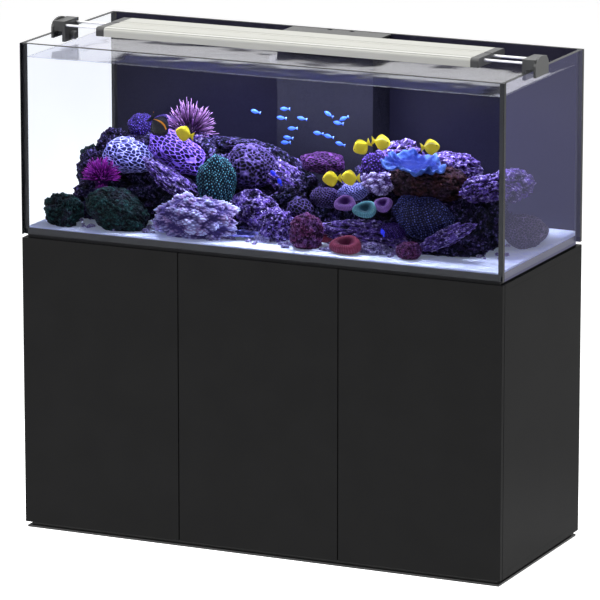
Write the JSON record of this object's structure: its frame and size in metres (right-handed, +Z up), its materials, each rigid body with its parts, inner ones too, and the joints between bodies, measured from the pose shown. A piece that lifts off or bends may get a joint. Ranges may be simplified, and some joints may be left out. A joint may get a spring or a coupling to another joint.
{
  "type": "aquarium on cabinet stand",
  "caption": "Rectangular glass aquarium on a black cabinet with handle-less doors, an overflow column, a sump, a reef and a clip-on lamp bar.",
  "frame": {"origin": "on the floor at the centre of the footprint", "axes": "+X to the right seen from the front along the length, +Y to the back, +Z up"},
  "size_m": [1.5146, 0.59, 1.471],
  "materials": {
    "cabinet_board": "satin black laminate on board",
    "base_board": "matt black",
    "foam": "matt closed-cell foam",
    "steel": "bright nickel plate",
    "black_plastic": "moulded, satin",
    "clear_glass": "polished float glass",
    "dark_glass": "glass with a black back",
    "silicone": "black silicone bead",
    "black_acrylic": "gloss black acrylic",
    "pipe": "grey pressure pipe",
    "sump_acrylic": "clear acrylic",
    "lamp_aluminium": "off-white satin extrusion",
    "lamp_plastic": "moulded, satin",
    "led_lens": "frosted lens, lit",
    "sand": "fine coral sand",
    "rock": "porous reef rock with growth"
  },
  "bodies": {
    "root": {"back_panel": "cabinet_board", "bottom_panel": "cabinet_board", "divider_panel": "cabinet_board", "drain_pipe": "pipe", "floor_plate": "base_board", "front_post": "cabinet_board", "hinge_arm_left_lower": "steel", "hinge_arm_left_upper": "steel", "hinge_arm_middle_lower": "steel", "hinge_arm_middle_upper": "steel", "hinge_arm_right_lower": "steel", "hinge_arm_right_upper": "steel", "overflow_front_panel": "black_acrylic", "overflow_left_panel": "black_acrylic", "overflow_right_panel": "black_acrylic", "plinth_frame": "base_board", "protein_skimmer": "black_plastic", "reef_rock_left": "rock", "reef_rock_right": "rock", "return_bulkhead": "pipe", "return_pipe": "pipe", "return_pump": "black_plastic", "sand_bed": "sand", "side_panel_left": "cabinet_board", "side_panel_right": "cabinet_board", "sump_tank": "sump_acrylic", "support_mat": "foam", "tank_back_glass": "dark_glass", "tank_bottom_glass": "dark_glass", "tank_front_glass": "clear_glass", "tank_left_glass": "clear_glass", "tank_right_glass": "clear_glass", "tank_seams": "silicone", "top_panel": "cabinet_board"},
    "left_door": {"door_left": "cabinet_board", "hinge_cup_left_lower": "steel", "hinge_cup_left_upper": "steel"},
    "middle_door": {"door_middle": "cabinet_board", "hinge_cup_middle_lower": "steel", "hinge_cup_middle_upper": "steel"},
    "right_door": {"door_right": "cabinet_board", "hinge_cup_right_lower": "steel", "hinge_cup_right_upper": "steel"},
    "left_latch": {"latch_plunger_left": "black_plastic"},
    "middle_latch": {"latch_plunger_middle": "black_plastic"},
    "right_latch": {"latch_plunger_right": "black_plastic"},
    "column_cover": {"overflow_lid": "black_acrylic"},
    "valve_lever": {"drain_valve_lever": "black_plastic"},
    "lamp_mounts": {"lamp_clamp_left": "lamp_plastic", "lamp_clamp_right": "lamp_plastic", "lamp_rod_left_front": "steel", "lamp_rod_left_back": "steel", "lamp_rod_right_front": "steel", "lamp_rod_right_back": "steel"},
    "lamp": {"lamp_housing": "lamp_aluminium", "lamp_end_cap_left": "lamp_plastic", "lamp_end_cap_right": "lamp_plastic", "lamp_led_strip": "led_lens"},
    "left_screw": {"clamp_screw_left": "lamp_plastic"},
    "right_screw": {"clamp_screw_right": "lamp_plastic"}
  },
  "joints": [
    {"name": "left_door_hinge", "type": "hinge", "parent": "root", "child": "left_door", "pos_m": [-0.744, -0.289, 0.441], "axis": [0, 0, -1], "range_deg": [0, 100]},
    {"name": "middle_door_hinge", "type": "hinge", "parent": "root", "child": "middle_door", "pos_m": [-0.243, -0.289, 0.441], "axis": [0, 0, -1], "range_deg": [0, 100]},
    {"name": "right_door_hinge", "type": "hinge", "parent": "root", "child": "right_door", "pos_m": [0.744, -0.289, 0.441], "axis": [0, 0, 1], "range_deg": [0, 100]},
    {"name": "left_latch_press", "type": "slide", "parent": "root", "child": "left_latch", "axis": [0, 1, 0], "range_m": [0, 0.003], "stiffness_N_per_m": 400},
    {"name": "middle_latch_press", "type": "slide", "parent": "root", "child": "middle_latch", "axis": [0, 1, 0], "range_m": [0, 0.003], "stiffness_N_per_m": 400},
    {"name": "right_latch_press", "type": "slide", "parent": "root", "child": "right_latch", "axis": [0, 1, 0], "range_m": [0, 0.003], "stiffness_N_per_m": 400},
    {"name": "column_cover_lift", "type": "slide", "parent": "root", "child": "column_cover", "axis": [0, 0, 1], "range_m": [0, 0.06]},
    {"name": "drain_valve_turn", "type": "hinge", "parent": "root", "child": "valve_lever", "pos_m": [0.075, 0.1954, 0.666], "axis": [0, 1, 0], "range_deg": [0, 90]},
    {"name": "lamp_lift", "type": "slide", "parent": "root", "child": "lamp_mounts", "axis": [0, 0, 1], "range_m": [0, 0.1]},
    {"name": "lamp_slide", "type": "slide", "parent": "lamp_mounts", "child": "lamp", "axis": [1, 0, 0], "range_m": [-0.05, 0.05]},
    {"name": "left_screw_turn", "type": "hinge", "parent": "lamp_mounts", "child": "left_screw", "pos_m": [-0.715, -0.0385, 1.42], "axis": [1, 0, 0], "continuous": true},
    {"name": "right_screw_turn", "type": "hinge", "parent": "lamp_mounts", "child": "right_screw", "pos_m": [0.715, -0.0385, 1.42], "axis": [1, 0, 0], "continuous": true}
  ]
}
